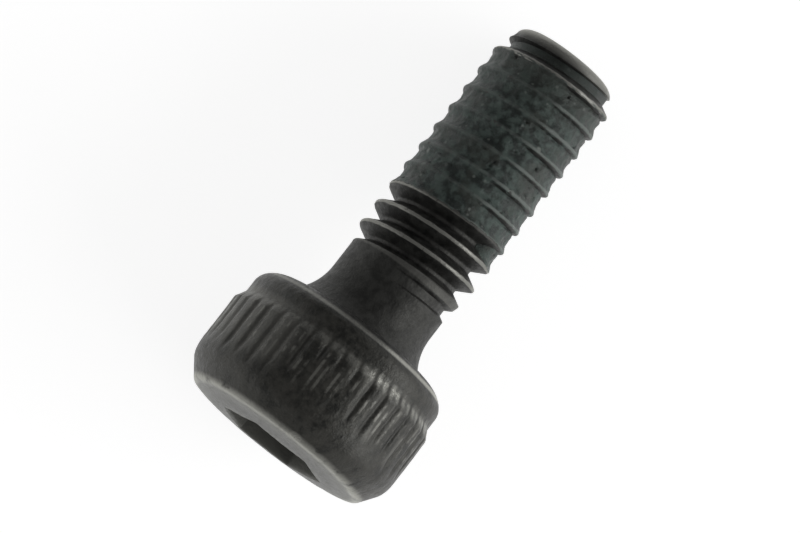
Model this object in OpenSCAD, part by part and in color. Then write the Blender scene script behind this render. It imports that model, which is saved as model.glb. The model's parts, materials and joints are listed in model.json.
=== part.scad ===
// Hex socket head cap screw, M4 by 10, with a dried thread-locking patch.
// It is drawn upright: bearing face at z = 0, head below it, tip up at z = length.
// It is then laid on the floor as it comes to rest, on two ridges of the knurled
// head and on the patch near the tip, with the head towards +X.

/* [Head] */
// Diameter over the knurl's ridges
head_d = 6.9; // [6.6:0.1:7.4]
// Height from the bearing face to the rim of the socket
head_h = 4.05; // [3.8:0.05:4.6]
// Drop of the top face from the socket's rim to its outer edge
top_drop = 0.15; // [0.05:0.05:0.3]
// Width of the slope round the top face, across the axis
slope_w = 0.58; // [0.3:0.02:0.8]
// Height of the slope round the top face, along the axis
slope_h = 0.78; // [0.4:0.02:0.9]
// Diameter of the smooth band next to the bearing face
band_d = 6.54; // [6.2:0.02:6.8]
// Height of the smooth band, with its rounded edge
band_h = 0.98; // [0.7:0.02:1.2]
// Radius of the rounded edge of the bearing face
bearing_edge_r = 0.4; // [0.1:0.05:0.6]

/* [Knurl] */
// Number of ridges, even so that a groove faces down
ridges = 38; // [28:2:46]
// Depth of the grooves between the ridges
groove_depth = 0.13; // [0.06:0.01:0.2]
// Width of the flat land on each ridge
land_w = 0.24; // [0.1:0.02:0.34]
// Length of the bevel from the ridges down to the smooth band
bevel_h = 0.32; // [0.2:0.02:0.6]
// Length over which the grooves fade out below the slope
fade_h = 0.7; // [0.2:0.05:0.9]

/* [Hex socket] */
// Width across the flats
socket_af = 3.02; // [2.5:0.02:3.3]
// Turn of the hex about the axis, in degrees
socket_turn = -6; // [-30:1:30]
// Depth of the flats from the rim
socket_depth = 2.1; // [1.6:0.1:2.6]
// Width of the chamfer at the rim, measured at the flats
rim_w = 0.1; // [0.04:0.02:0.3]
// Width of the ledge between the flats and the cone at the bottom
ledge_w = 0.06; // [0.02:0.02:0.2]
// Angle of the cone at the bottom
cone_angle = 120; // [90:5:140]

/* [Neck] */
// Diameter of the plain neck
neck_d = 3.47; // [3.4:0.01:3.6]
// Radius of the fillet under the head
fillet_r = 1.75; // [1.3:0.05:2.5]
// Distance from the bearing face to where the fillet meets the neck
fillet_h = 1.15; // [0.8:0.05:1.5]

/* [Thread] */
// Length from the bearing face to the tip
length = 10; // [9:0.5:16]
// Diameter over the crests
thread_d = 3.8; // [3.7:0.02:4]
// Pitch of the right-hand thread
pitch = 0.7; // [0.5:0.05:0.75]
// Distance from the bearing face to where the grooves start
thread_start = 1.75; // [1.6:0.05:2.2]
// Length over which the grooves reach their full depth
runout = 0.6; // [0.4:0.05:0.9]
// Distance from the start of the grooves to where the crests rise out of the neck
crest_delay = 0.25; // [0.1:0.05:0.5]
// Length over which the crests rise to their full height
crest_rise = 0.65; // [0.2:0.05:0.9]
// Turn of the thread about the axis, in degrees
thread_turn = 164; // [0:1:359]
// Diameter of the flat tip
tip_d = 2.9; // [2.2:0.1:2.9]
// Length of the chamfer at the tip
tip_h = 0.7; // [0.4:0.05:0.75]

/* [Patch] */
// Thickness of the dried film over the crests
film = 0.03; // [0.02:0.01:0.08]
// Depth of the film's hollows between the crests
hollow = 0.12; // [0.06:0.02:0.2]
// Length of the patch along the thread
patch_length = 5.1; // [3:0.1:5.2]
// Bare length between the patch and the tip
bare_tip = 0.75; // [0.7:0.05:1.2]

/* [Hidden] */
$fn = 96;
// Reach of a cutting shape past the face that it cuts
cut = 1;
// Depth to which two joined shapes run into each other
bury = 0.1;

// Radii
head_r = head_d / 2;
band_r = band_d / 2;
groove_r = head_r - groove_depth;
top_r = head_r - slope_w;
rim_r = socket_af / 2 + rim_w;
neck_r = neck_d / 2;
crest_r = thread_d / 2;
tip_r = tip_d / 2;
patch_r = crest_r + film;
hollow_r = patch_r - hollow;

// Heights along the axis, below zero in the head
top_edge_z = top_drop - head_h;
slope_foot_z = top_edge_z + slope_h;
ridge_end_z = -band_h - bevel_h;
patch_end = length - bare_tip;
patch_start = patch_end - patch_length;

// Knurl: the sides of the grooves run on to a point above the lands
ridge_pitch = 2 * head_r * sin(180 / ridges);
groove_w = ridge_pitch - land_w;
point_r = groove_r + groove_depth * ridge_pitch / groove_w;

// Thread: metric 60 degree section, with its four corners along one pitch
thread_depth = 17 / 24 * sqrt(3) / 2 * pitch;
root_r = crest_r - thread_depth;
half_crest = pitch / 16;
root_from = half_crest + thread_depth * tan(30);
thread_section = [
    [-half_crest, crest_r],
    [half_crest, crest_r],
    [root_from, root_r],
    [pitch - root_from, root_r]
];
turn_steps = 36;
helix_z = thread_start - 2 * pitch;
helix_turns = ceil((length - helix_z) / pitch) + 1;

// Film: its flanks leave a flat as wide as the crest below it, and run on to a point above it
hollow_from = 0.3 * pitch;
film_point_r = hollow_r + hollow * hollow_from / (hollow_from - half_crest);
film_section = [
    [0, film_point_r],
    [hollow_from, hollow_r],
    [pitch - hollow_from, hollow_r]
];

// Rest: the floor runs through the lower ends of two ridges, and through the first that it meets of
// the film's last crest below the axis, the end of the patch, and the bare crests past it
rest_r = head_r * cos(asin(groove_w / 2 / head_r));
end_phase = (patch_end - helix_z - pitch * (180 - thread_turn) / 360) % pitch;
end_r = min(patch_r, lookup(end_phase, concat(film_section, [[pitch, film_point_r]])));
last_crest = patch_end - max(end_phase - half_crest, 0);
rest_points = [
    [last_crest, patch_r],
    [patch_end, end_r],
    bare_crest(1),
    bare_crest(2)
];
tilt = min([for (p = rest_points) atan((rest_r - p[1]) / (p[0] - ridge_end_z))]);
lift = max([for (p = rest_points) p[0] * sin(tilt) + p[1] * cos(tilt)]);
head_x = top_r * sin(tilt) - top_edge_z * cos(tilt);
tip_x = -tip_r * sin(tilt) - length * cos(tilt);

// The lowest point of the i-th bare crest past the patch, which the chamfer may cut
function bare_crest(i) =
    let (
        middle = patch_end - end_phase + i * pitch,
        z = min(max(length - tip_h, middle - half_crest), middle + half_crest)
    )
    [z, min(crest_r, tip_r + (length - z) * (crest_r - tip_r) / tip_h)];

module lie_down() {
    translate([-(head_x + tip_x) / 2, 0, lift])
        rotate([0, -90 - tilt, 0])
            children();
}

// Half section of the head before it is knurled
module head_outline() {
    difference() {
        polygon([
            [0, bury],
            [neck_r, bury],
            [neck_r, 0],
            [band_r, 0],
            [band_r, -band_h],
            [head_r, ridge_end_z],
            [head_r, slope_foot_z],
            [top_r, top_edge_z],
            [rim_r, -head_h],
            [0, -head_h]
        ]);
        translate([band_r - bearing_edge_r, -bearing_edge_r])
            difference() {
                square(bearing_edge_r + cut);
                circle(bearing_edge_r);
            }
    }
}

// Half section of what the grooves leave: the band, their floor, and the head past where they end
module groove_floor() {
    // They fade out just short of the slope
    fade_z = slope_foot_z + bury + fade_h;
    far_z = fade_z - fade_h * (groove_depth + cut) / groove_depth;
    polygon([
        [0, cut],
        [head_r + cut, cut],
        [head_r + cut, -band_h],
        [groove_r, -band_h],
        [groove_r, fade_z],
        [head_r + cut, far_z],
        [head_r + cut, far_z - head_h],
        [0, far_z - head_h]
    ]);
}

// Section of the ridges, with a groove facing up and one facing down at rest
module ridge_star() {
    half_step = 180 / ridges;
    polygon([for (i = [0:2 * ridges - 1])
        (i % 2 == 0 ? groove_r : point_r) * [cos(i * half_step), sin(i * half_step)]]);
}

module head() {
    intersection() {
        rotate_extrude()
            head_outline();
        union() {
            translate([0, 0, -head_h - cut])
                linear_extrude(head_h + 2 * cut)
                    ridge_star();
            rotate_extrude()
                groove_floor();
        }
    }
}

// Hex with a chamfered rim and a cone at the bottom; unturned, it has two flats level at rest
module hex_socket() {
    cone_r = socket_af / 2 - ledge_w;
    floor_z = socket_depth - head_h;
    translate([0, 0, -head_h - cut])
        rotate(30 + socket_turn)
            cylinder(h = socket_depth + cut, r = socket_af / sqrt(3), $fn = 6);
    translate([0, 0, -head_h - cut])
        cylinder(h = rim_w + cut, r1 = rim_r + cut, r2 = socket_af / 2);
    rotate_extrude()
        polygon([
            [0, -head_h],
            [cone_r, -head_h],
            [cone_r, floor_z],
            [0, floor_z + cone_r / tan(cone_angle / 2)]
        ]);
}

// Neck with its fillet under the head, and the cone in which the grooves fade out
module neck() {
    foot_r = neck_r + fillet_r - sqrt(fillet_r * fillet_r - fillet_h * fillet_h);
    core_r = root_r - bury;
    fade_end = thread_start + runout * (neck_r - core_r) / (neck_r - root_r);
    rotate_extrude()
        union() {
            difference() {
                square([foot_r, fillet_h]);
                translate([neck_r + fillet_r, fillet_h])
                    circle(fillet_r);
            }
            polygon([
                [0, -bury],
                [neck_r, -bury],
                [neck_r, thread_start],
                [core_r, fade_end],
                [0, fade_end]
            ]);
        }
}

// A corner of the section after i steps round the axis
function helix_point(corner, i) =
    let (turn = thread_turn + 360 * i / turn_steps)
    [corner[1] * cos(turn), corner[1] * sin(turn), helix_z + pitch * i / turn_steps + corner[0]];

// Right-hand helix with an overlong end at each side, closed to the axis
module helix(section) {
    corners = len(section);
    steps = helix_turns * turn_steps;
    last = steps + turn_steps;
    low = corners * (last + 1);
    high = low + 1;
    // The corner past the last one is the first corner of the next turn
    function at(i, j) = corners * (j < corners ? i : i + turn_steps) + j % corners;
    points = [
        for (i = [0:last], corner = section) helix_point(corner, i),
        [0, 0, helix_z + pitch / 2],
        [0, 0, helix_z + pitch / 2 + pitch * helix_turns]
    ];
    faces = [
        for (i = [0:steps - 1], j = [0:corners - 1]) [at(i, j), at(i, j + 1), at(i + 1, j + 1)],
        for (i = [0:steps - 1], j = [0:corners - 1]) [at(i, j), at(i + 1, j + 1), at(i + 1, j)],
        for (i = [0:turn_steps - 1]) [low, at(i, 0), at(i + 1, 0)],
        for (j = [0:corners - 1]) [low, at(0, j + 1), at(0, j)],
        for (i = [steps:last - 1]) [high, at(i + 1, 0), at(i, 0)],
        for (j = [0:corners - 1]) [high, at(steps, j), at(steps, j + 1)]
    ];
    polyhedron(points, faces, convexity = 20);
}

// The helix, trimmed where its crests rise from the neck and at the chamfered tip
module thread() {
    outer_r = crest_r + bury;
    crest_start = thread_start + crest_delay;
    intersection() {
        helix(thread_section);
        rotate_extrude()
            polygon([
                [0, thread_start - bury],
                [neck_r - bury, thread_start - bury],
                [neck_r, thread_start],
                [neck_r, crest_start],
                [outer_r, crest_start + crest_rise * (outer_r - neck_r) / (crest_r - neck_r)],
                [outer_r, length - tip_h * (outer_r - tip_r) / (crest_r - tip_r)],
                [tip_r, length],
                [0, length]
            ]);
    }
}

// One piece of steel: forged head and socket, rolled thread
module screw() {
    color("#363634")
        lie_down()
            difference() {
                union() {
                    head();
                    neck();
                    thread();
                }
                hex_socket();
            }
}

// Dried film that fills the thread's grooves, with hollows between the crests, and covers the crests
module thread_lock_patch() {
    color("#33403b")
        lie_down()
            difference() {
                intersection() {
                    translate([0, 0, patch_start])
                        cylinder(h = patch_length, r = patch_r);
                    helix(film_section);
                }
                thread();
            }
}

screw();
thread_lock_patch();
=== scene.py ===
import bpy
import json
import math
import random
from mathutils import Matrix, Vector


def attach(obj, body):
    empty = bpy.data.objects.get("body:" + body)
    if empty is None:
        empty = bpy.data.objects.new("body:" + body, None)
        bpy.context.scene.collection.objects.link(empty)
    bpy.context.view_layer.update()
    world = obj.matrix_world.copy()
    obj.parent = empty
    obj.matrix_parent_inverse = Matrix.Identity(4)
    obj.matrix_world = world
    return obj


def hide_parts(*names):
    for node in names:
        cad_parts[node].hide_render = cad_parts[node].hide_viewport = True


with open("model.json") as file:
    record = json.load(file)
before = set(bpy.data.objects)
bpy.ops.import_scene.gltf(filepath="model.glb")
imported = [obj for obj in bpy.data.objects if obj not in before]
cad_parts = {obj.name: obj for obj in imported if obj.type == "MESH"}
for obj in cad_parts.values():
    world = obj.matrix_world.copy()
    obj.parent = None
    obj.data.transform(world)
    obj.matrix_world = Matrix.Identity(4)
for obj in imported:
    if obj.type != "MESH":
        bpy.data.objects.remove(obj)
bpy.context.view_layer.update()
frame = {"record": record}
scene = bpy.context.scene
scene.view_settings.view_transform = "Standard"

# the screw is modelled upright in mm, bearing face at z 0, head below, tip up, and laid down at the end
mounts = {mount["name"]: mount for mount in frame["record"]["mounts"]}
headward = Vector(mounts["hex_socket"]["axis"])
socketMouth = Vector(mounts["hex_socket"]["pos_m"])
headHeight = 4.05
mm = 0.001
bearingCentre = socketMouth - headward * headHeight * mm
tilt = math.asin(headward.z)
print("frame loaded, screw tilted by", round(math.degrees(tilt), 2), "degrees")


# small tools for the bench

def clearSelection():
    if bpy.context.object and bpy.context.object.mode != "OBJECT":
        bpy.ops.object.mode_set(mode="OBJECT")
    bpy.ops.object.select_all(action="DESELECT")


def workOn(piece):
    clearSelection()
    piece.select_set(True)
    bpy.context.view_layer.objects.active = piece


def drawOutline(name, outline):
    # a plane shrunk to one point, which is then pulled along the outline in the xz plane
    clearSelection()
    bpy.ops.mesh.primitive_plane_add(size=0.1, location=(0, 0, 0))
    piece = bpy.context.object
    piece.name = piece.data.name = name
    bpy.ops.object.mode_set(mode="EDIT")
    bpy.ops.mesh.merge(type="CENTER")
    bpy.ops.transform.translate(value=(outline[0][0], 0, outline[0][1]))
    for (r, z), (nextR, nextZ) in zip(outline, outline[1:]):
        bpy.ops.mesh.extrude_region_move(TRANSFORM_OT_translate={"value": (nextR - r, 0, nextZ - z)})
    bpy.ops.object.mode_set(mode="OBJECT")
    return piece


def closeUp(piece, gap):
    workOn(piece)
    bpy.ops.object.mode_set(mode="EDIT")
    bpy.ops.mesh.select_all(action="SELECT")
    bpy.ops.mesh.remove_doubles(threshold=gap)
    bpy.ops.mesh.select_all(action="DESELECT")
    bpy.ops.mesh.select_non_manifold()
    bpy.ops.mesh.fill_holes(sides=0)
    bpy.ops.mesh.select_all(action="SELECT")
    bpy.ops.mesh.normals_make_consistent(inside=False)
    bpy.ops.object.mode_set(mode="OBJECT")


def turnOnLathe(name, outline, steps):
    piece = drawOutline(name, outline)
    bpy.ops.object.mode_set(mode="EDIT")
    bpy.ops.mesh.select_all(action="SELECT")
    bpy.ops.mesh.spin(steps=steps, angle=2 * math.pi, center=(0, 0, 0), axis=(0, 0, 1))
    bpy.ops.object.mode_set(mode="OBJECT")
    closeUp(piece, 0.0005)
    return piece


def windHelix(name, outline, pitch, turns, steps):
    piece = drawOutline(name, outline)
    winding = piece.modifiers.new("winding", "SCREW")
    winding.axis = "Z"
    winding.screw_offset = pitch
    winding.iterations = turns
    winding.steps = winding.render_steps = steps
    winding.use_merge_vertices = True
    winding.merge_threshold = 0.0005
    bpy.ops.object.modifier_apply(modifier=winding.name)
    return piece


def cutOff(piece, height, keepAbove):
    workOn(piece)
    bpy.ops.object.mode_set(mode="EDIT")
    bpy.ops.mesh.select_all(action="SELECT")
    bpy.ops.mesh.bisect(plane_co=(0, 0, height), plane_no=(0, 0, 1), use_fill=True,
                        clear_inner=keepAbove, clear_outer=not keepAbove, threshold=0.00001)
    bpy.ops.object.mode_set(mode="OBJECT")


def paintWeights(piece, name, weigh):
    group = piece.vertex_groups.new(name=name)
    for vert in piece.data.vertices:
        weight = weigh(vert.co)
        if weight > 0:
            group.add([vert.index], weight, "REPLACE")


def castTo(piece, group, radius):
    # painted points go to this radius about the axis
    workOn(piece)
    cast = piece.modifiers.new("cast", "CAST")
    cast.cast_type = "CYLINDER"
    cast.factor = 1
    cast.size = radius
    cast.use_radius_as_size = False
    cast.use_z = False
    cast.vertex_group = group
    bpy.ops.object.modifier_apply(modifier=cast.name)


def roughen(piece, grain, depth, group="", ramp=None, level=0.5):
    # cloudy dents of this grain, between the ramp's two levels if there is one
    workOn(piece)
    grainTexture = bpy.data.textures.new("grain", "CLOUDS")
    grainTexture.noise_scale = grain
    if ramp:
        grainTexture.use_color_ramp = True
        stops = grainTexture.color_ramp.elements
        stops[0].position, stops[1].position = ramp
        stops[0].color, stops[1].color = (0, 0, 0, 1), (1, 1, 1, 1)
    displace = piece.modifiers.new("grain", "DISPLACE")
    displace.texture = grainTexture
    displace.texture_coords = "LOCAL"
    displace.strength = depth
    displace.mid_level = level
    displace.vertex_group = group
    bpy.ops.object.modifier_apply(modifier=displace.name)


def sink(piece, group, depth):
    # painted points go in by this depth
    workOn(piece)
    press = piece.modifiers.new("press", "DISPLACE")
    press.strength = -depth
    press.mid_level = 0
    press.vertex_group = group
    bpy.ops.object.modifier_apply(modifier=press.name)


def combine(piece, tool, operation, keepTool=False):
    workOn(piece)
    joint = piece.modifiers.new("joint", "BOOLEAN")
    joint.operation = operation
    joint.solver = "MANIFOLD"
    joint.object = tool
    bpy.ops.object.modifier_apply(modifier=joint.name)
    if not keepTool:
        bpy.data.objects.remove(tool)


def layDown(piece, sharpAngle):
    workOn(piece)
    piece.scale = (mm, mm, mm)
    piece.rotation_euler = (0, -math.pi / 2 - tilt, 0)
    piece.location = bearingCentre
    bpy.ops.object.transform_apply(location=True, rotation=True, scale=True)
    piece.vertex_groups.clear()
    bpy.ops.object.shade_smooth_by_angle(angle=math.radians(sharpAngle))


def smoothStep(low, high, value):
    part = min(max((value - low) / (high - low), 0), 1)
    return part * part * (3 - 2 * part)


def arc(centreR, centreZ, radius, start, end, count):
    return [(centreR + radius * math.cos(math.radians(start + (end - start) * i / count)),
             centreZ + radius * math.sin(math.radians(start + (end - start) * i / count)))
            for i in range(count + 1)]


# head with its knurl, down to the plain neck

head = {
    "topCurve": [(1.38, -4.054), (1.6, -4.042), (1.9, -4.02), (2.25, -3.98), (2.55, -3.944), (2.74, -3.917)],
    "topEdge": [(2.87, -3.889), (2.925, -3.865), (2.965, -3.83)],
    "slopeCurve": [(3.045, -3.72), (3.16, -3.56), (3.255, -3.427), (3.325, -3.325), (3.362, -3.247),
                   (3.392, -3.165), (3.415, -3.08), (3.43, -2.99), (3.439, -2.9)],
    "ridges": 38, "lanes": 18, "ridgeR": 3.443, "grooveR": 3.335, "ridgeTurn": 1.85,
    "rows": 15, "rowHeight": 0.1, "grooveTop": -3.7, "grooveDepths": (0.4, 0.8),
    "grooveShape": [1.0, 0.9, 0.6, 0.32, 0.15, 0.065, 0.025, 0.008, 0.002, 0.0],
    "fadeStart": -2.98, "fadeEnd": -2.3, "fadeSpread": 0.22, "lateStart": 0.75, "lateAngle": (26, 10),
    "bevelTop": -1.3, "bevelFoot": -0.98, "bevelParts": (0.2, 0.45, 0.7, 0.9),
    "bandR": 3.27, "bandEnd": -0.65, "edge": (0.8, 0.6), "edgeParts": 12,
    "neckR": 1.735, "neckRow": 1.35, "neckEnd": 1.55, "filletR": 1.75, "filletEnd": 1.15, "filletParts": 12,
    "dents": [(0.6, 0.02), (0.18, 0.012)], "dentLevel": 0.85, "dentedFrom": (0, -0.3),
}


def headOutline():
    h = head
    outline = h["topCurve"] + h["topEdge"] + h["slopeCurve"]
    slopeEnd = outline[-1][1]
    outline += [(h["ridgeR"], slopeEnd + h["rowHeight"] * (i + 1)) for i in range(h["rows"])]
    # bevel with softened ends
    outline += [(h["ridgeR"], h["bevelTop"] - 0.03), (h["ridgeR"] - 0.004, h["bevelTop"] + 0.015)]
    for part in h["bevelParts"]:
        outline.append((h["ridgeR"] + (h["bandR"] - h["ridgeR"]) * part,
                        h["bevelTop"] + (h["bevelFoot"] - h["bevelTop"]) * part))
    outline += [(h["bandR"] + 0.004, h["bevelFoot"] + 0.01), (h["bandR"], h["bevelFoot"] + 0.05)]
    outline += [(h["bandR"], h["bandEnd"])]
    # bearing edge, wider than tall
    wide, tall = h["edge"]
    quarter = arc(0, 0, 1, 0, 90, h["edgeParts"])
    outline += [(h["bandR"] - wide + wide * r, tall * (z - 1)) for r, z in quarter]
    filletFoot = h["neckR"] + h["filletR"] - math.sqrt(h["filletR"] ** 2 - h["filletEnd"] ** 2)
    outline += [(filletFoot + 0.02, 0)]
    lowAngle = 180 + math.degrees(math.asin(h["filletEnd"] / h["filletR"]))
    outline += arc(h["neckR"] + h["filletR"], h["filletEnd"], h["filletR"], lowAngle, 180, h["filletParts"])
    outline += [(h["neckR"], h["neckRow"]), (h["neckR"], h["neckEnd"])]
    return outline


def makeHead():
    h = head
    blank = turnOnLathe("capScrew", headOutline(), h["ridges"] * h["lanes"])
    blank.rotation_euler = (0, 0, math.radians(h["ridgeTurn"]))
    workOn(blank)
    bpy.ops.object.transform_apply(location=False, rotation=True, scale=False)
    dice = random.Random(4)
    depths = [dice.uniform(*h["grooveDepths"]) for _ in range(h["ridges"])]
    starts = []
    for groove in range(h["ridges"]):
        fromTop = abs((groove * 360 / h["ridges"] + h["ridgeTurn"] + 180) % 360 - 180)
        late = 1 - smoothStep(h["lateAngle"][1], h["lateAngle"][0], fromTop)
        starts.append(late * h["lateStart"] + dice.uniform(-1, 1) * h["fadeSpread"])

    def grooveWeight(co):
        if not h["grooveTop"] < co.z < h["bevelFoot"] or math.hypot(co.x, co.y) <= h["grooveR"]:
            return 0
        fromFirst = math.degrees(math.atan2(co.y, co.x)) - h["ridgeTurn"]
        lane = round(fromFirst * h["ridges"] * h["lanes"] / 360)
        groove = round(lane / h["lanes"])
        shape = h["grooveShape"][abs(lane - groove * h["lanes"])]
        shift = starts[groove % h["ridges"]]
        fade = smoothStep(h["fadeStart"] + shift, h["fadeEnd"] + shift, co.z)
        return shape * fade * depths[groove % h["ridges"]]

    paintWeights(blank, "grooves", grooveWeight)
    castTo(blank, "grooves", h["grooveR"])
    paintWeights(blank, "forged", lambda co: smoothStep(*h["dentedFrom"], co.z))
    for grain, depth in h["dents"]:
        roughen(blank, grain, depth, "forged", level=h["dentLevel"])
    print("head turned and knurled,", len(blank.data.polygons), "faces")
    return blank


# hex socket: a punch with a rolled-in rim, small corner radii and a cone at the bottom

socket = {
    "acrossFlats": 3.02, "turn": -6, "depth": 2.1, "cornerR": 0.06,
    "coneR": 1.45, "coneDepth": 0.84, "conePoint": [(0.12, 0.05), (0.05, 0.025)], "coneSteps": 96,
    "rim": [(1.12, -0.3), (1.05, -0.01), (1.026, 0.015), (1.01, 0.045), (1.003, 0.08), (1.0, 0.13)],
}


def makePunch():
    s = socket
    clearSelection()
    cornerReach = s["acrossFlats"] / math.sqrt(3)
    bpy.ops.mesh.primitive_circle_add(vertices=6, radius=cornerReach, fill_type="NOTHING")
    punch = bpy.context.object
    punch.name = "punch"
    bpy.ops.object.mode_set(mode="EDIT")
    bpy.ops.mesh.select_all(action="SELECT")
    bpy.ops.mesh.bevel(offset=s["cornerR"], segments=4, affect="VERTICES")
    bpy.ops.mesh.select_all(action="SELECT")
    size, depth = s["rim"][0]
    bpy.ops.transform.resize(value=(size, size, 1), center_override=(0, 0, 0))
    bpy.ops.transform.rotate(value=math.radians(s["turn"]), orient_axis="Z", center_override=(0, 0, 0))
    bpy.ops.transform.translate(value=(0, 0, depth - headHeight))
    for nextSize, nextDepth in s["rim"][1:] + [(1.0, s["depth"])]:
        bpy.ops.mesh.extrude_region_move(TRANSFORM_OT_translate={"value": (0, 0, nextDepth - depth)})
        bpy.ops.transform.resize(value=(nextSize / size, nextSize / size, 1), center_override=(0, 0, 0))
        size, depth = nextSize, nextDepth
    bpy.ops.object.mode_set(mode="OBJECT")
    closeUp(punch, 0.0001)
    floorZ = s["depth"] - headHeight
    coneOutline = [(s["coneR"], floorZ - 0.5), (s["coneR"], floorZ)]
    coneOutline += [(r, floorZ + s["coneDepth"] - back) for r, back in s["conePoint"]]
    combine(punch, turnOnLathe("drill", coneOutline, s["coneSteps"]), "UNION")
    return punch


# rolled right-hand thread with its run-out at the neck and a chamfered tip

thread = {
    "pitch": 0.7, "crestAt": 0.732, "turns": 15, "steps": 128, "start": 1.3,
    "crestRise": (1.98, 2.68), "grooveFade": (1.74, 2.6), "narrowing": 0.1,
    "baseR": 1.733, "crestR": 1.899, "rootR": 1.471, "length": 10.0, "valleyAt": 2.482, "flankRows": 8,
    "crestBand": (1.78, 1.89), "crestDents": (0.22, 0.03), "trim": [(2.2, 0), (2.2, 9.2)], "trimSteps": 144,
    "tipCurve": [(1.92, 9.3), (1.78, 9.46), (1.7, 9.58), (1.655, 9.7), (1.64, 9.8), (1.605, 9.86),
                 (1.55, 9.915), (1.48, 9.96), (1.41, 9.988), (1.34, 10.0)],
    "crestCurve": [(0.02, 1.899), (0.042, 1.891), (0.062, 1.869)],
    "rootCurve": [(0.27, 1.508), (0.292, 1.482), (0.318, 1.472)],
}


def threadOutline():
    # from root to root over one crest
    t = thread
    (top, topR), (foot, footR) = t["crestCurve"][-1], t["rootCurve"][0]
    flank = [(top + (foot - top) * i / t["flankRows"], topR + (footR - topR) * i / t["flankRows"])
             for i in range(1, t["flankRows"])]
    half = t["crestCurve"] + flank + t["rootCurve"]
    ends = [(t["pitch"] / 2, t["rootR"])]
    section = [(-dz, r) for dz, r in reversed(half + ends)] + half + ends
    return [(r, t["crestAt"] + dz) for dz, r in section]


def turnsAlong(co):
    # turns from the valley's start to the groove at this point
    turn = math.atan2(co.y, co.x) / (2 * math.pi) % 1
    return round((co.z - thread["valleyAt"]) / thread["pitch"] - turn) + turn


def makeThread():
    t = thread
    rod = windHelix("thread", threadOutline(), t["pitch"], t["turns"], t["steps"])
    closeUp(rod, 0.0005)
    cutOff(rod, t["start"], True)
    cutOff(rod, t["length"] + 0.2, False)

    def plainWeight(co):
        # grooves that are still shallow are narrow with a flat floor, crests that are still low are flat
        height = math.hypot(co.x, co.y) - t["baseR"]
        if height < 0:
            depth = t["rootR"] - t["baseR"]
            begin, full = t["grooveFade"]
            middle = t["valleyAt"] + turnsAlong(co) * t["pitch"]
            fade = 1 - (1 - min(max((middle - begin) / (full - begin), 0), 1)) ** 4
            shallow = min(max(height - depth * (1 - fade) * t["narrowing"], depth * fade), 0)
            return 1 - shallow / height
        grown = (t["crestR"] - t["baseR"]) * smoothStep(*t["crestRise"], co.z)
        return max(1 - grown / max(height, 0.0001), 0)

    paintWeights(rod, "plain", plainWeight)
    castTo(rod, "plain", t["baseR"])
    paintWeights(rod, "crests", lambda co: smoothStep(*t["crestBand"], math.hypot(co.x, co.y)))
    roughen(rod, *t["crestDents"], "crests")
    combine(rod, turnOnLathe("tipTrim", t["trim"] + t["tipCurve"], t["trimSteps"]), "INTERSECT")
    print("thread rolled,", len(rod.data.polygons), "faces")
    return rod


# dried film in the grooves, from turn to turn of the valley's helix

film = {
    "firstTurn": 2.14, "lastTurn": 9.4, "fade": 0.05, "hiddenR": 1.2, "thinR": 1.57,
    "from": 3.2, "to": 9.8, "steps": 220, "points": 26,
    "crestR": 1.898, "highestR": 1.915, "valleyR": 1.8, "peak": 1.7, "lipWidth": 0.055, "lipHeight": 0.02,
    "creviceAt": -0.19, "creviceWidth": 0.07, "creviceDepth": 0.11, "creviceWaves": (9, 2.3),
    "nearSide": (0.0, 1.0), "farSide": (-0.6, -1.3), "farPart": 0.4,
    "thinOver": (1.82, 1.9), "thinPart": 0.7, "dents": [(0.15, 0.04), (0.4, 0.08)],
    "pits": (0.25, -0.1), "pitLevels": (0.75, 0.87),
}


def makeFilm(rod):
    f, t = film, thread
    outline = []
    for i in range(f["points"] + 1):
        part = i / f["points"] - 0.5
        swell = (0.5 + 0.5 * math.cos(2 * math.pi * part)) ** f["peak"]
        lip = f["lipHeight"] * math.exp(-(part / f["lipWidth"]) ** 2)
        radius = f["valleyR"] + (f["crestR"] - f["valleyR"]) * swell + lip
        outline.append((radius, t["crestAt"] + part * t["pitch"]))
    sleeve = windHelix("driedFilm", outline, t["pitch"], t["turns"], f["steps"])
    closeUp(sleeve, 0.0005)
    cutOff(sleeve, f["from"], True)
    cutOff(sleeve, f["to"], False)

    def creviceWeight(co):
        # before each crest, deepest on the near side
        turn = math.atan2(co.y, co.x) / (2 * math.pi)
        part = (co.z - t["crestAt"]) / t["pitch"] - turn + 100.5
        line = math.exp(-((part % 1 - 0.5 - f["creviceAt"]) / f["creviceWidth"]) ** 2)
        turnWaves, partWaves = f["creviceWaves"]
        uneven = 0.75 + 0.25 * math.sin(turnWaves * turn + partWaves * part)
        far = f["farPart"] * smoothStep(*f["farSide"], co.y)
        return line * uneven * max(smoothStep(*f["nearSide"], co.y), far)

    paintWeights(sleeve, "crevices", creviceWeight)
    sink(sleeve, "crevices", f["creviceDepth"])
    # thick in the hollows, thin over the crests
    paintWeights(sleeve, "thick", lambda co: 1 - f["thinPart"] * smoothStep(
        *f["thinOver"], math.hypot(co.x, co.y)))
    for grain, depth in f["dents"]:
        roughen(sleeve, grain, depth, "thick")
    roughen(sleeve, *f["pits"], "", f["pitLevels"], level=0)
    paintWeights(sleeve, "proud", lambda co: 1 if math.hypot(co.x, co.y) > f["highestR"] else 0)
    castTo(sleeve, "proud", f["highestR"])

    # no film before the first turn, a thin rest in the groove past the last one
    paintWeights(sleeve, "bare", lambda co: 1 - smoothStep(
        f["firstTurn"] - f["fade"], f["firstTurn"] + f["fade"], turnsAlong(co)))
    paintWeights(sleeve, "thin", lambda co: smoothStep(
        f["lastTurn"] - f["fade"], f["lastTurn"] + f["fade"], turnsAlong(co)))
    castTo(sleeve, "bare", f["hiddenR"])
    castTo(sleeve, "thin", f["thinR"])
    combine(sleeve, rod, "DIFFERENCE", True)
    print("film spread,", len(sleeve.data.polygons), "faces")
    return sleeve


# finishes, all on the screw's own mm coordinates

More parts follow.
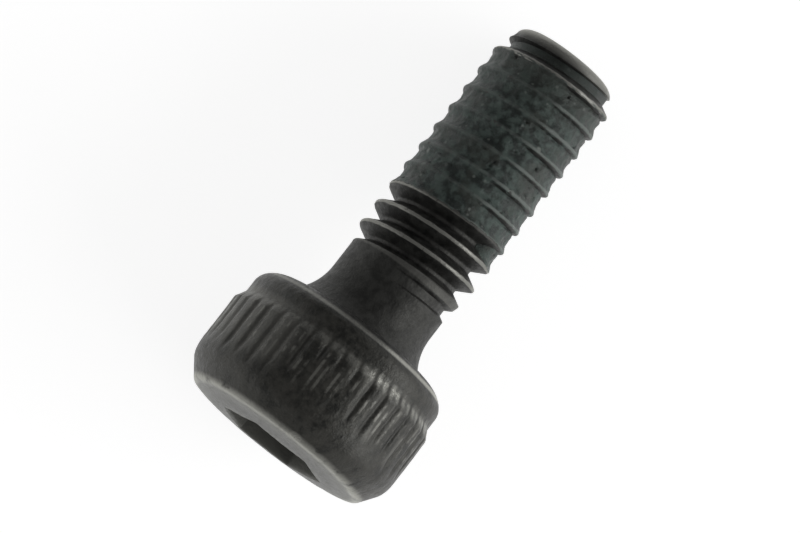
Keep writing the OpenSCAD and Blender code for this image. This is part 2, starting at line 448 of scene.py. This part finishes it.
def startFinish(name):
    finish = bpy.data.materials.new(name)
    finish.use_nodes = True
    nodes, links = finish.node_tree.nodes, finish.node_tree.links
    nodes.clear()
    output = nodes.new("ShaderNodeOutputMaterial")
    shader = nodes.new("ShaderNodeBsdfPrincipled")
    links.new(shader.outputs["BSDF"], output.inputs["Surface"])
    place = nodes.new("ShaderNodeTexCoord")
    upright = nodes.new("ShaderNodeMapping")
    upright.vector_type = "TEXTURE"
    upright.inputs["Location"].default_value = bearingCentre
    upright.inputs["Rotation"].default_value = (0, -math.pi / 2 - tilt, 0)
    upright.inputs["Scale"].default_value = (mm, mm, mm)
    links.new(place.outputs["Object"], upright.inputs["Vector"])
    return finish, nodes, links, shader, upright.outputs["Vector"]


def noiseNode(nodes, links, where, scale, detail=4.0, rough=0.55):
    noise = nodes.new("ShaderNodeTexNoise")
    noise.inputs["Scale"].default_value = scale
    noise.inputs["Detail"].default_value = detail
    noise.inputs["Roughness"].default_value = rough
    links.new(where, noise.inputs["Vector"])
    return noise.outputs["Fac"]


def rampNode(nodes, links, value, stops):
    ramp = nodes.new("ShaderNodeValToRGB")
    elements = ramp.color_ramp.elements
    while len(elements) < len(stops):
        elements.new(0.5)
    for element, (position, colour) in zip(elements, stops):
        element.position = position
        element.color = (*colour, 1) if isinstance(colour, tuple) else (colour, colour, colour, 1)
    links.new(value, ramp.inputs["Fac"])
    return ramp.outputs["Color"]


def spanNode(nodes, links, value, low, high):
    span = nodes.new("ShaderNodeMapRange")
    span.interpolation_type = "SMOOTHSTEP"
    span.inputs["From Min"].default_value = low
    span.inputs["From Max"].default_value = high
    links.new(value, span.inputs["Value"])
    return span.outputs["Result"]


def rangeNode(nodes, links, value, before, after):
    ranged = nodes.new("ShaderNodeMapRange")
    ranged.inputs["From Min"].default_value, ranged.inputs["From Max"].default_value = before
    ranged.inputs["To Min"].default_value, ranged.inputs["To Max"].default_value = after
    links.new(value, ranged.inputs["Value"])
    return ranged.outputs["Result"]


def mathNode(nodes, links, operation, first, second):
    node = nodes.new("ShaderNodeMath")
    node.operation = operation
    for slot, value in zip(node.inputs, (first, second)):
        if isinstance(value, (int, float)):
            slot.default_value = value
        else:
            links.new(value, slot)
    return node.outputs["Value"]


def mixNode(nodes, links, part, first, second):
    mix = nodes.new("ShaderNodeMix")
    mix.data_type = "RGBA"
    for slot, value in ((mix.inputs["Factor"], part), (mix.inputs["A"], first), (mix.inputs["B"], second)):
        if isinstance(value, tuple):
            slot.default_value = (*value, 1)
        elif isinstance(value, (int, float)):
            slot.default_value = value
        else:
            links.new(value, slot)
    return mix.outputs["Result"]


def axisNodes(nodes, links, where):
    flat = nodes.new("ShaderNodeVectorMath")
    flat.operation = "MULTIPLY"
    flat.inputs[1].default_value = (1, 1, 0)
    links.new(where, flat.inputs[0])
    radius = nodes.new("ShaderNodeVectorMath")
    radius.operation = "LENGTH"
    links.new(flat.outputs["Vector"], radius.inputs[0])
    split = nodes.new("ShaderNodeSeparateXYZ")
    links.new(where, split.inputs["Vector"])
    angle = mathNode(nodes, links, "ARCTAN2", split.outputs["Y"], split.outputs["X"])
    return radius.outputs["Value"], split.outputs["Z"], split.outputs["Y"], angle


def spotsNode(nodes, links, where, scale, share, size):
    # round spots, in this share of the cells
    cells = nodes.new("ShaderNodeTexVoronoi")
    cells.inputs["Scale"].default_value = scale
    links.new(where, cells.inputs["Vector"])
    dice = nodes.new("ShaderNodeSeparateColor")
    links.new(cells.outputs["Color"], dice.inputs["Color"])
    chosen = spanNode(nodes, links, dice.outputs["Red"], 1 - share, 1.02 - share)
    close = spanNode(nodes, links, cells.outputs["Distance"], size, size * 0.4)
    return mathNode(nodes, links, "MULTIPLY", chosen, close)


def bumpNode(nodes, links, shader, layers):
    last = None
    for height, depth in layers:
        bump = nodes.new("ShaderNodeBump")
        bump.inputs["Distance"].default_value = depth
        links.new(height, bump.inputs["Height"])
        if last:
            links.new(last, bump.inputs["Normal"])
        last = bump.outputs["Normal"]
    links.new(last, shader.inputs["Normal"])


steelFinish = {
    "dark": (0.003, 0.0033, 0.003), "pale": (0.038, 0.0365, 0.032), "toneAt": (0.4, 0.6),
    "neckDark": (0.003, 0.003, 0.003), "neckPale": (0.024, 0.024, 0.0225), "neckToneAt": (0.42, 0.62),
    # top is the face round the socket, rim its outer part, paler still with a painted reflection
    "top": (0.11, 0.11, 0.103), "rim": (0.215, 0.215, 0.196), "inside": (0.13, 0.13, 0.118),
    # worn is bare metal, used both for real wear and for painted highlights
    "wornAndSheen": (0.37, 0.368, 0.338), "shine": (1.0, 1.0, 0.94),
    "cloudScale": 2.2, "speckScale": 7.0, "cloudPart": 0.6, "mottleScale": 3.4, "streakScale": (8.97, 0.45),
    "wornRough": 0.24, "roughLow": 0.34, "roughHigh": 0.56, "roughAt": (0.3, 0.7),
    "neckMatt": 0.1, "neckMattFrom": (-0.34, -0.1),
    "grainScale": 16.0, "grainDepth": 0.00001, "peelScale": 4.0, "peelDepth": 0.000015,
    "nick": (2.96, 0.4, -3.83), "nickSize": (0.2, 0.3, 0.13),
}

# a place is the product of its rows and a row the largest of its entries: a strength, or a rise of a field
steelPlaces = {
    "neck": [[("along", -0.45, -0.25)]],
    "slope": [[("along", -2.9, -3.5)], [("clouds", 0.3, 0.55)], [0.65]],
    # the outer rim of the top face is paler still, a painted reflection
    "topRimSheen": [[("radius", 2.0, 2.7)]],
    "topFace": [[("along", -3.785, -3.87)], [("speck", 0.1, 0.6)]],
    "inside": [[("radius", 1.76, 1.74)], [("along", -0.5, -0.9)]],
}
# rubbed bare metal, and painted highlights laid on as bare metal
wearAndHighlightPlaces = {
    "ridgeSides": [[("lane", 0.22, 0.29)], [("lane", 0.44, 0.36)], [("radius", 3.39, 3.42)],
                   [("along", -2.9, -2.2)], [("clouds", 0.45, 0.62)], [0.36]],
    # worn ends of the ridges with a painted highlight, full on the lit near side and weaker elsewhere
    "ridgeEndsWearAndHighlight": [[("lane", 0.02, 0.24)], [("lane", 0.5, 0.36), ("clouds", 0.48, 0.6), 0.5],
                  [("radius", 3.24, 3.3)], [("along", -1.4, -1.1)], [("along", -0.83, -0.91)],
                  [("across", 0.1, 1.2), 0.3], [("across", 2.7, 1.9), 0.6], [("speck", 0.36, 0.5), 0.65]],
    "streaks": [[("streaks", 0.56, 0.68)], [("radius", 3.4, 3.44)], [("along", -2.95, -2.5)],
                [("along", -0.95, -1.2)], [0.26]],
    # painted light: the whole far side of the knurl is lightened with bare metal
    "farSide": [[("across", -0.8, -2.0)], [("along", -3.1, -2.3)], [("along", -0.7, -0.95)], [0.2]],
    # a painted highlight of bare metal round the bearing edge, full on the lit near side
    "bearingEdgeHighlight": [[("radius", 2.85, 2.95)], [("along", -0.31, -0.24)], [("along", -0.11, -0.2)],
                    [("across", 0.1, 1.2), 0.5], [0.8]],
    # worn edge of the slope with a painted highlight along it
    "slopeEdgeWearAndHighlight": [[("steep", 4.72, 4.79)], [("along", -3.5, -3.6)], [("clouds", 0.3, 0.5)], [0.6]],
    "crests": [[("radius", 1.868, 1.89)], [("along", 2.0, 2.4)], [("speck", 0.25, 0.42)], [0.56],
               [("along", 4.3, 4.1), ("along", 8.8, 9.0), 0.2]],
    "firstLand": [[("radius", 1.737, 1.75)], [("along", 1.9, 2.05)], [("along", 2.6, 2.4)], [0.2]],
    "tipEdge": [[("along", 9.6, 9.85)], [("radius", 1.2, 1.36)], [0.55]],
    "nick": [[("nick", 1.2, 0.5)], [0.8]],
}


def makeSteelFinish():
    s = steelFinish
    finish, nodes, links, shader, where = startFinish("darkOxideSteel")
    radius, along, across, angle = axisNodes(nodes, links, where)

    def work(operation, first, second):
        return mathNode(nodes, links, operation, first, second)

    clouds = noiseNode(nodes, links, where, s["cloudScale"], 4, 0.6)
    speck = noiseNode(nodes, links, where, s["speckScale"], 4, 0.6)
    # 0 in the middle of a groove, 0.5 in the middle of a ridge
    fromFirst = work("SUBTRACT", angle, math.radians(head["ridgeTurn"]))
    turned = work("MULTIPLY", fromFirst, head["ridges"] / (2 * math.pi))
    lane = work("ABSOLUTE", work("SUBTRACT", work("FRACT", work("ADD", turned, 100.5), 0), 0.5), 0)
    # thin lines along the ridges
    roundScale, alongScale = s["streakScale"]
    stretched = nodes.new("ShaderNodeCombineXYZ")
    links.new(work("MULTIPLY", angle, roundScale), stretched.inputs["X"])
    links.new(work("MULTIPLY", along, alongScale), stretched.inputs["Y"])
    streaks = noiseNode(nodes, links, stretched.outputs["Vector"], 1.0, 2, 0.5)
    # grows from the slope towards the top face
    steep = work("SUBTRACT", work("MULTIPLY", radius, 0.5), work("MULTIPLY", along, 0.866))
    nickPlace = nodes.new("ShaderNodeMapping")
    nickPlace.vector_type = "TEXTURE"
    nickPlace.inputs["Location"].default_value = s["nick"]
    nickPlace.inputs["Scale"].default_value = s["nickSize"]
    links.new(where, nickPlace.inputs["Vector"])
    fromNick = nodes.new("ShaderNodeVectorMath")
    fromNick.operation = "LENGTH"
    links.new(nickPlace.outputs["Vector"], fromNick.inputs[0])
    fields = {"radius": radius, "along": along, "across": across, "clouds": clouds, "speck": speck,
              "lane": lane, "streaks": streaks, "steep": steep, "nick": fromNick.outputs["Value"]}

    def joined(operation, masks):
        mask = masks[0]
        for other in masks[1:]:
            mask = work(operation, mask, other)
        return mask

    def entryMask(entry):
        if isinstance(entry, float):
            return entry
        field, low, high = entry
        return spanNode(nodes, links, fields[field], low, high)

    def placeMask(rows):
        return joined("MULTIPLY", [joined("MAXIMUM", [entryMask(entry) for entry in row]) for row in rows])

    places = {name: placeMask(rows) for name, rows in steelPlaces.items()}
    cloudy = work("MULTIPLY", clouds, s["cloudPart"])
    blotch = work("ADD", cloudy, work("MULTIPLY", speck, 1 - s["cloudPart"]))
    colour = rampNode(nodes, links, blotch, list(zip(s["toneAt"], (s["dark"], s["pale"]))))
    # the neck and the thread are darker
    mottle = noiseNode(nodes, links, where, s["mottleScale"], 3, 0.55)
    neckColour = rampNode(nodes, links, mottle, list(zip(s["neckToneAt"], (s["neckDark"], s["neckPale"]))))
    colour = mixNode(nodes, links, places["neck"], colour, neckColour)
    colour = mixNode(nodes, links, places["slope"], colour, s["pale"])
    # the face round the socket is paler, with a painted reflection brightening it towards its outer rim, and
    # the socket's walls are paler
    topColour = mixNode(nodes, links, places["topRimSheen"], s["top"], s["rim"])
    colour = mixNode(nodes, links, places["topFace"], colour, topColour)
    colour = mixNode(nodes, links, places["inside"], colour, s["inside"])
    # edges rubbed to bare metal, with painted highlights of bare metal at the knurl's ends, the bearing edge
    # and the slope's edge, and painted light lightening the far side of the knurl
    wearAndSheen = joined("MAXIMUM", [placeMask(rows) for rows in wearAndHighlightPlaces.values()])
    colour = mixNode(nodes, links, wearAndSheen, colour, s["wornAndSheen"])
    links.new(colour, shader.inputs["Base Color"])
    links.new(wearAndSheen, shader.inputs["Metallic"])
    shader.inputs["Specular Tint"].default_value = (*s["shine"], 1)
    satin = rangeNode(nodes, links, speck, s["roughAt"], (s["roughLow"], s["roughHigh"]))
    neckward = spanNode(nodes, links, along, *s["neckMattFrom"])
    matt = work("ADD", satin, work("MULTIPLY", neckward, s["neckMatt"]))
    polish = work("MULTIPLY", work("SUBTRACT", s["wornRough"], matt), wearAndSheen)
    links.new(work("ADD", matt, polish), shader.inputs["Roughness"])
    grain = noiseNode(nodes, links, where, s["grainScale"], 4, 0.6)
    peel = noiseNode(nodes, links, where, s["peelScale"], 2, 0.5)
    bumpNode(nodes, links, shader, [(peel, s["peelDepth"]), (grain, s["grainDepth"])])
    return finish


filmFinish = {
    "dark": (0.003, 0.005, 0.0045), "pale": (0.058, 0.079, 0.07), "toneAt": (0.42, 0.6), "grainScale": 4.0,
    "brown": (0.03, 0.029, 0.024), "brownPart": 0.55, "brownFrom": (7.6, 9.2),
    "blotchScale": 1.1, "blotchAt": (0.5, 0.62),
    # ridge is the thin film's paler colour over the crests with a painted highlight, full on the lit near
    # side
    "ridge": (0.16, 0.178, 0.165), "ridgePart": 0.8, "ridgeFrom": (1.88, 1.91),
    "highlightSide": (0.0, 0.9), "otherSidePart": 0.25,
    "speck": (0.17, 0.185, 0.17), "crumbs": (2.4, 0.1, 0.28), "crumbsEnd": (9.1, 8.9),
    "fineCrumbs": (5.0, 0.14, 0.32), "finePart": 0.5,
    "pit": (0.002, 0.003, 0.0025), "pits": (2.0, 0.1, 0.26), "lastGroove": (1.63, 1.6), "lastGroovePart": 0.6,
    "shine": (0.9, 1.0, 0.95), "specular": 0.55, "roughLow": 0.36, "roughHigh": 0.58, "roughAt": (0.35, 0.65),
    "fineScale": 22.0, "fineDepth": 0.00003,
}


def makeFilmFinish():
    f = filmFinish
    finish, nodes, links, shader, where = startFinish("driedFilm")
    radius, along, across = axisNodes(nodes, links, where)[:3]

    def span(value, limits):
        return spanNode(nodes, links, value, *limits)

    def work(operation, first, second):
        return mathNode(nodes, links, operation, first, second)

    grain = noiseNode(nodes, links, where, f["grainScale"], 3, 0.5)
    colour = rampNode(nodes, links, grain, list(zip(f["toneAt"], (f["dark"], f["pale"]))))
    # browner towards the tip and in large blotches
    blotch = span(noiseNode(nodes, links, where, f["blotchScale"], 3, 0.5), f["blotchAt"])
    browner = work("MULTIPLY", work("MAXIMUM", span(along, f["brownFrom"]), blotch), f["brownPart"])
    colour = mixNode(nodes, links, browner, colour, f["brown"])
    # thin and paler on the ridges over the crests, with a painted highlight along them that is full on the
    # lit near side
    highlightSide = work("MAXIMUM", span(across, f["highlightSide"]), f["otherSidePart"])
    ridges = work("MULTIPLY", span(radius, f["ridgeFrom"]), highlightSide)
    colour = mixNode(nodes, links, work("MULTIPLY", ridges, f["ridgePart"]), colour, f["ridge"])
    # pale crumbs, a dark last groove and dark pits
    crumbs = work("MULTIPLY", spotsNode(nodes, links, where, *f["crumbs"]), span(along, f["crumbsEnd"]))
    fineCrumbs = work("MULTIPLY", spotsNode(nodes, links, where, *f["fineCrumbs"]), f["finePart"])
    colour = mixNode(nodes, links, work("MAXIMUM", crumbs, fineCrumbs), colour, f["speck"])
    lastGroove = work("MULTIPLY", span(radius, f["lastGroove"]), f["lastGroovePart"])
    colour = mixNode(nodes, links, lastGroove, colour, f["pit"])
    colour = mixNode(nodes, links, spotsNode(nodes, links, where, *f["pits"]), colour, f["pit"])
    links.new(colour, shader.inputs["Base Color"])
    satin = rangeNode(nodes, links, grain, f["roughAt"], (f["roughLow"], f["roughHigh"]))
    links.new(satin, shader.inputs["Roughness"])
    shader.inputs["Specular IOR Level"].default_value = f["specular"]
    shader.inputs["Specular Tint"].default_value = (*f["shine"], 1)
    fine = noiseNode(nodes, links, where, f["fineScale"], 4, 0.65)
    bumpNode(nodes, links, shader, [(fine, f["fineDepth"])])
    return finish


# put the pieces together

screwPiece = makeHead()
combine(screwPiece, makePunch(), "DIFFERENCE")
rolledRod = makeThread()
filmPiece = makeFilm(rolledRod)
combine(screwPiece, rolledRod, "UNION")
for piece, node, slotName, finish, sharpAngle in (
        (screwPiece, "screw", "steel", makeSteelFinish(), 34),
        (filmPiece, "thread_lock_patch", "patch", makeFilmFinish(), 60)):
    layDown(piece, sharpAngle)
    piece.data.materials.clear()
    piece.data.materials.append(finish)
    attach(piece, "root")
    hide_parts(node)
    print(piece.name, "laid down,", len(piece.data.polygons), "faces")


# pale floor, soft light, camera straight above

studio = {
    "floorSize": 3.0, "floorColour": 0.5, "lift": 0.82, "overhead": 0.23, "foot": 0.1,
    "headEnd": 1.2, "nearSide": 2.7, "farSide": 3.0, "lightTurn": 20, "sheet": (0.06, 0.015),
    "fall": [(0.0, 1.0), (0.27, 0.42), (0.7, 0.0)],
    "lampPower": 1.6, "lampSize": (0.7, 0.2), "lampPlace": (-0.1, 0.55, 0.22),
}
camera = {"distance": 0.3, "pixelsPerMm": 35.0, "turn": 127.69, "over": (0.642, -0.21), "height": 2.95}


def makeFloor():
    clearSelection()
    bpy.ops.mesh.primitive_plane_add(size=studio["floorSize"], location=(0, 0, 0))
    floor = bpy.context.object
    floor.name = "floor"
    paper = bpy.data.materials.new("floorPaper")
    paper.use_nodes = True
    nodes, links = paper.node_tree.nodes, paper.node_tree.links
    nodes.clear()
    output = nodes.new("ShaderNodeOutputMaterial")
    matte = nodes.new("ShaderNodeBsdfDiffuse")
    matte.inputs["Color"].default_value = (studio["floorColour"],) * 3 + (1,)
    glow = nodes.new("ShaderNodeEmission")
    glow.inputs["Color"].default_value = (1, 1, 1, 1)
    # white to the eye, and near the screw to its reflections
    rays = nodes.new("ShaderNodeLightPath")
    place = nodes.new("ShaderNodeTexCoord")
    away = nodes.new("ShaderNodeVectorMath")
    away.operation = "LENGTH"
    links.new(place.outputs["Object"], away.inputs[0])
    sheet = spanNode(nodes, links, away.outputs["Value"], *studio["sheet"])
    seen = mathNode(nodes, links, "MULTIPLY", rays.outputs["Is Glossy Ray"], sheet)
    for ray in ("Is Camera Ray", "Is Transmission Ray"):
        seen = mathNode(nodes, links, "MAXIMUM", seen, rays.outputs[ray])
    links.new(mathNode(nodes, links, "MULTIPLY", seen, studio["lift"]), glow.inputs["Strength"])
    both = nodes.new("ShaderNodeAddShader")
    links.new(matte.outputs["BSDF"], both.inputs[0])
    links.new(glow.outputs["Emission"], both.inputs[1])
    links.new(both.outputs["Shader"], output.inputs["Surface"])
    floor.data.materials.append(paper)


def makeSky():
    # a soft tent, dim overhead and towards the tip, pale at the foot of its two sides and the head's end
    t = studio
    sky = bpy.data.worlds.new("studio")
    scene.world = sky
    sky.use_nodes = True
    nodes, links = sky.node_tree.nodes, sky.node_tree.links
    nodes.clear()
    output = nodes.new("ShaderNodeOutputWorld")
    background = nodes.new("ShaderNodeBackground")
    place = nodes.new("ShaderNodeTexCoord")
    split = nodes.new("ShaderNodeSeparateXYZ")
    links.new(place.outputs["Generated"], split.inputs["Vector"])
    x, y, z = (split.outputs[name] for name in "XYZ")

    def work(operation, first, second):
        return mathNode(nodes, links, operation, first, second)

    def lobe(direction, strength, focus):
        return work("MULTIPLY", work("POWER", work("MAXIMUM", direction, 0), focus), strength)

    turn = math.radians(t["lightTurn"])
    aside = work("SUBTRACT", work("MULTIPLY", y, math.cos(turn)), work("MULTIPLY", x, math.sin(turn)))
    sides = work("ADD", lobe(aside, t["nearSide"], 2), lobe(work("MULTIPLY", aside, -1), t["farSide"], 4))
    foot = work("ADD", work("ADD", sides, lobe(x, t["headEnd"], 2)), t["foot"] - t["overhead"])
    fall = rampNode(nodes, links, z, t["fall"])
    level = work("ADD", work("MULTIPLY", foot, fall), t["overhead"])
    links.new(level, background.inputs["Strength"])
    links.new(background.outputs["Background"], output.inputs["Surface"])


def makeLamp(name):
    lampData = bpy.data.lights.new(name, "AREA")
    lampData.shape = "RECTANGLE"
    lampData.size, lampData.size_y = studio["lampSize"]
    lampData.energy = studio["lampPower"]
    lamp = bpy.data.objects.new(name, lampData)
    scene.collection.objects.link(lamp)
    lamp.location = studio["lampPlace"]
    lamp.rotation_euler = (-lamp.location).to_track_quat("-Z", "Y").to_euler()


def makeCamera():
    c = camera
    cameraData = bpy.data.cameras.new("camera")
    cameraObject = bpy.data.objects.new("camera", cameraData)
    scene.collection.objects.link(cameraObject)
    cameraObject.location = (c["over"][0] * mm, c["over"][1] * mm, c["height"] * mm + c["distance"])
    cameraObject.rotation_euler = (0, 0, math.radians(c["turn"]))
    cameraData.sensor_width = 36
    cameraData.lens = 36 * c["distance"] / (800 / c["pixelsPerMm"] * mm)
    cameraData.clip_start = 0.01
    scene.camera = cameraObject


makeFloor()
makeSky()
makeLamp("softLamp")
makeCamera()
print("studio set")
